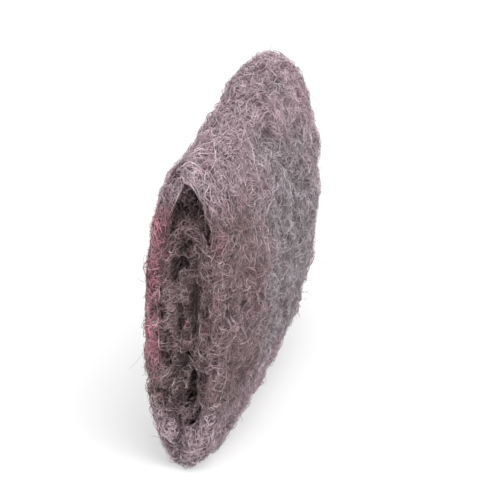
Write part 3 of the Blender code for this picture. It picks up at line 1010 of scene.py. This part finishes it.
def buildCrumbs():
    rng = np.random.default_rng(crumbs["seed"])
    turn = rng.uniform(topTurn + 0.06, 0.97, crumbs["rim"] * 3)
    w = -halfLength + softEdge + rng.uniform(-0.0030, 0.0002, crumbs["rim"] * 3)
    spots = coverPoints(turn, w, np.zeros_like(turn))[0]
    soapy = soapAt(spots, turn, turnDepth(turn)) > 0.45
    turn = np.concatenate([turn[soapy][:crumbs["rim"]], rng.uniform(0.02, 0.98, crumbs["spread"])])
    w = np.concatenate([w[soapy][:crumbs["rim"]], rng.uniform(-0.48, 0.48, crumbs["spread"]) * roll["length"]])
    count = len(turn)
    middle, out = coverPoints(turn, w, rng.uniform(-0.0005, 0.0001, count))
    corners = np.array([(1, 0, 0), (-1, 0, 0), (0, 1, 0), (0, -1, 0), (0, 0, 1), (0, 0, -1)], float)
    sizes = rng.uniform(*crumbs["size"], count)[:, None, None]
    lumpy = corners[None] * rng.uniform(0.6, 1.3, (count, 6, 1)) + rng.normal(0.0, 0.15, (count, 6, 3))
    points = middle[:, None] + lumpy * sizes
    points[..., 2] = np.maximum(points[..., 2], 0.0002)
    sides = [(0, 2, 4), (2, 1, 4), (1, 3, 4), (3, 0, 4), (2, 0, 5), (1, 2, 5), (3, 1, 5), (0, 3, 5)]
    faces = [[k * 6 + a for a in side] for k in range(count) for side in sides]
    piece = meshObject("soap_crumbs", points.reshape(-1, 3), faces, crumbMaterial())
    print("soap crumbs:", len(faces), "triangles")
    return piece


corePiece = buildCore()
strandSteel = strandMaterial()
pieces = [corePiece, *buildCover(strandSteel), *buildEnds(strandSteel), *buildLining(strandSteel)]
pieces += [*buildNests(strandSteel), *buildHairs(strandSteel), buildCrumbs()]
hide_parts("steel_wool_pad")
for piece in pieces:
    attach(piece, "root")
triangles = sum(len(face.vertices) - 2 for piece in pieces for face in piece.data.polygons)
print("pad:", len(pieces), "pieces,", triangles, "triangles")


# Floor, light and camera
stage = dict(
    floorSize=8.0, floorColour=(0.86, 0.855, 0.86), floorLift=0.52, whiteFrom=0.10, whiteTo=0.40,
    worldStrength=0.48,
    azimuth=12.2, elevation=24.2, roll=3.2, distance=0.643, aimHeight=0.0295,
    focalPixels=3400.0, imageWidth=483.0, sensorWidth=36.0,
)
lamps = dict(
    key=dict(place=(0.20, -0.30, 1.05), size=0.6, watts=9.4),
    side=dict(place=(0.78, -0.55, 0.13), size=0.7, watts=4.6),
    fill=dict(place=(-0.60, -0.75, 0.50), size=0.9, watts=3.3),
    back=dict(place=(0.30, 0.80, 0.70), size=0.8, watts=4.0),
)


def seenDirectly(tree):  # 1 for what the camera and reflections see, 0 for what lights the pad
    path = tree.nodes.new("ShaderNodeLightPath").outputs
    seen = mathNode(tree, "MAXIMUM", path["Is Camera Ray"], path["Is Glossy Ray"])
    return mathNode(tree, "MAXIMUM", seen, path["Is Transmission Ray"])


def buildFloor():
    half = stage["floorSize"] / 2
    mesh = bpy.data.meshes.new("floor")
    mesh.from_pydata([(-half, -half, 0), (half, -half, 0), (half, half, 0), (-half, half, 0)], [], [(0, 1, 2, 3)])
    floor = bpy.data.objects.new("floor", mesh)
    bpy.context.scene.collection.objects.link(floor)
    material, tree, shader, place = startMaterial("white table")
    shader.inputs["Base Color"].default_value = (*stage["floorColour"], 1.0)
    shader.inputs["Roughness"].default_value = 0.9
    away = addNode(tree, "VectorMath", {0: place}, "Value", operation="LENGTH")
    lift = rangeNode(tree, away, stage["whiteFrom"], stage["whiteTo"], stage["floorLift"])
    share = mathNode(tree, "MULTIPLY", seenDirectly(tree), lift)
    blend = addNode(tree, "MixShader", {0: share, 1: shader.outputs[0], 2: addNode(tree, "Emission", {})})
    tree.links.new(blend, tree.nodes["Material Output"].inputs["Surface"])
    mesh.materials.append(material)


def buildLights():
    world = bpy.data.worlds.new("studio")
    world.use_nodes = True
    tree = world.node_tree
    background = tree.nodes["Background"]
    background.inputs["Color"].default_value = (1.0, 1.0, 1.0, 1.0)
    strength = rangeNode(tree, seenDirectly(tree), 0.0, 1.0, stage["worldStrength"])
    tree.links.new(strength, background.inputs["Strength"])
    bpy.context.scene.world = world
    aim = Vector((0.0, 0.0, stage["aimHeight"]))
    for name, lamp in lamps.items():
        light = bpy.data.lights.new(name, "AREA")
        light.energy = lamp["watts"]
        light.size = lamp["size"]
        holder = bpy.data.objects.new(name, light)
        holder.location = lamp["place"]
        holder.rotation_euler = (aim - holder.location).to_track_quat("-Z", "Y").to_euler()
        bpy.context.scene.collection.objects.link(holder)


def buildCamera():
    turn, rise = math.radians(stage["azimuth"]), math.radians(stage["elevation"])
    back = Vector((math.sin(turn) * math.cos(rise), -math.cos(turn) * math.cos(rise), math.sin(rise)))
    lens = bpy.data.cameras.new("camera")
    lens.sensor_fit = "HORIZONTAL"
    lens.sensor_width = stage["sensorWidth"]
    lens.lens = stage["focalPixels"] / stage["imageWidth"] * stage["sensorWidth"]
    camera = bpy.data.objects.new("camera", lens)
    camera.location = Vector((0.0, 0.0, stage["aimHeight"])) + back * stage["distance"]
    level = (-back).to_track_quat("-Z", "Y")
    camera.rotation_euler = (level @ Quaternion((0.0, 0.0, 1.0), math.radians(stage["roll"]))).to_euler()
    bpy.context.scene.collection.objects.link(camera)
    bpy.context.scene.camera = camera


buildFloor()
buildLights()
buildCamera()
bpy.context.scene.view_settings.view_transform = "Standard"
print("stage, lights and camera are set")
